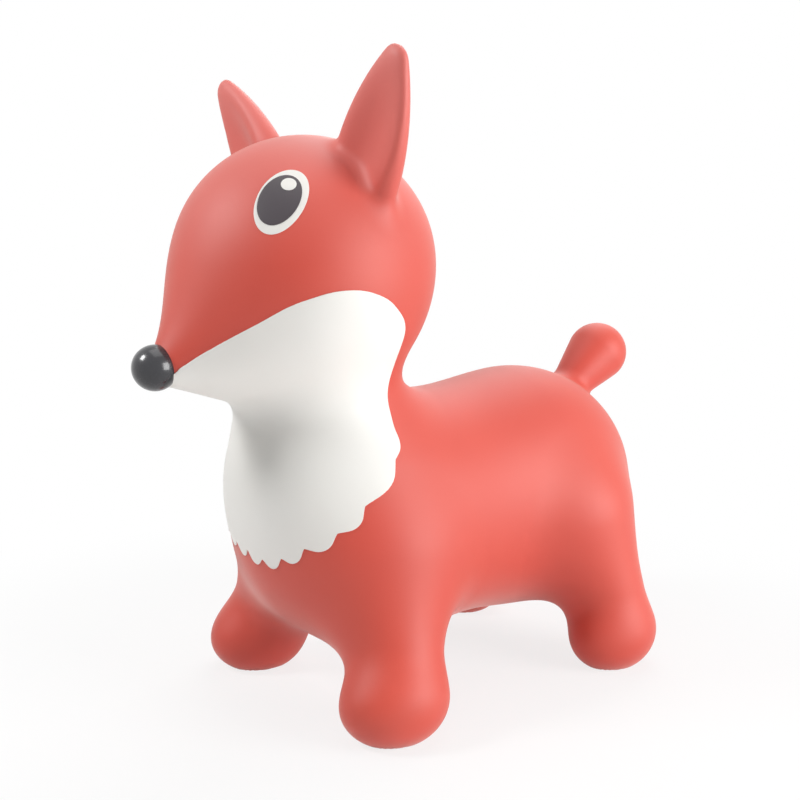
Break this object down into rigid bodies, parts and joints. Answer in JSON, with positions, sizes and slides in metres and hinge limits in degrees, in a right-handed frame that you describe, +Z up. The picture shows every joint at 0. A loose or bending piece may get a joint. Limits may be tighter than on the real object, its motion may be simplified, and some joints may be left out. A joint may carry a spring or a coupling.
{
  "type": "fox hopper",
  "caption": "Hollow inflatable vinyl fox for a small child to sit on and bounce, with flexing legs, ears and tail, a raised white coat, painted eyes, a gloss nose and a push-in valve plug.",
  "frame": {"origin": "on the floor, under the middle of the hopper's bounding box", "axes": "+Z up, -Y the way the fox faces, +X to the fox's left"},
  "size_m": [0.291, 0.5458, 0.5393],
  "materials": {
    "coral_vinyl": "matte soft vinyl",
    "white_paint": "satin paint",
    "nose_gloss": "gloss",
    "pupil_grey": "satin paint",
    "plug_plastic": "satin"
  },
  "bodies": {
    "trunk": {"torso_skin": "coral_vinyl", "neck_skin": "coral_vinyl", "head_skin": "coral_vinyl", "nose_ball": "nose_gloss", "white_coat": "white_paint", "left_eye_white": "white_paint", "left_eye_pupil": "pupil_grey", "left_eye_glint": "white_paint", "right_eye_white": "white_paint", "right_eye_pupil": "pupil_grey", "right_eye_glint": "white_paint"},
    "front_left_leg": {"front_left_leg_skin": "coral_vinyl"},
    "front_right_leg": {"front_right_leg_skin": "coral_vinyl"},
    "rear_left_leg": {"rear_left_leg_skin": "coral_vinyl"},
    "rear_right_leg": {"rear_right_leg_skin": "coral_vinyl"},
    "left_ear": {"left_ear_skin": "coral_vinyl"},
    "right_ear": {"right_ear_skin": "coral_vinyl"},
    "tail": {"tail_skin": "coral_vinyl"},
    "plug": {"valve_plug": "plug_plastic"}
  },
  "joints": [
    {"name": "front_left_leg_squash", "type": "slide", "parent": "trunk", "child": "front_left_leg", "axis": [0, 0, 1], "range_m": [0, 0.025], "stiffness_N_per_m": 3000, "springref_m": -0.008, "deforming": ["front_left_leg_skin"]},
    {"name": "front_right_leg_squash", "type": "slide", "parent": "trunk", "child": "front_right_leg", "axis": [0, 0, 1], "range_m": [0, 0.025], "stiffness_N_per_m": 3000, "springref_m": -0.008, "deforming": ["front_right_leg_skin"]},
    {"name": "rear_left_leg_squash", "type": "slide", "parent": "trunk", "child": "rear_left_leg", "axis": [0, 0, 1], "range_m": [0, 0.025], "stiffness_N_per_m": 3000, "springref_m": -0.008, "deforming": ["rear_left_leg_skin"]},
    {"name": "rear_right_leg_squash", "type": "slide", "parent": "trunk", "child": "rear_right_leg", "axis": [0, 0, 1], "range_m": [0, 0.025], "stiffness_N_per_m": 3000, "springref_m": -0.008, "deforming": ["rear_right_leg_skin"]},
    {"name": "left_ear_bend", "type": "hinge", "parent": "trunk", "child": "left_ear", "pos_m": [0.0705, -0.10686, 0.4485], "axis": [0.8374, 0.0659, -0.5426], "range_deg": [-25, 25], "stiffness_Nm_per_rad": 2, "deforming": ["left_ear_skin"]},
    {"name": "right_ear_bend", "type": "hinge", "parent": "trunk", "child": "right_ear", "pos_m": [-0.0705, -0.10686, 0.4485], "axis": [0.8374, -0.0659, 0.5426], "range_deg": [-25, 25], "stiffness_Nm_per_rad": 2, "deforming": ["right_ear_skin"]},
    {"name": "tail_bend", "type": "hinge", "parent": "trunk", "child": "tail", "pos_m": [0, 0.19914, 0.2495], "axis": [1, 0, 0], "range_deg": [-25, 25], "stiffness_Nm_per_rad": 2, "deforming": ["tail_skin"]},
    {"name": "plug_pull", "type": "slide", "parent": "trunk", "child": "plug", "axis": [0, 0, -1], "range_m": [0, 0.025]}
  ]
}
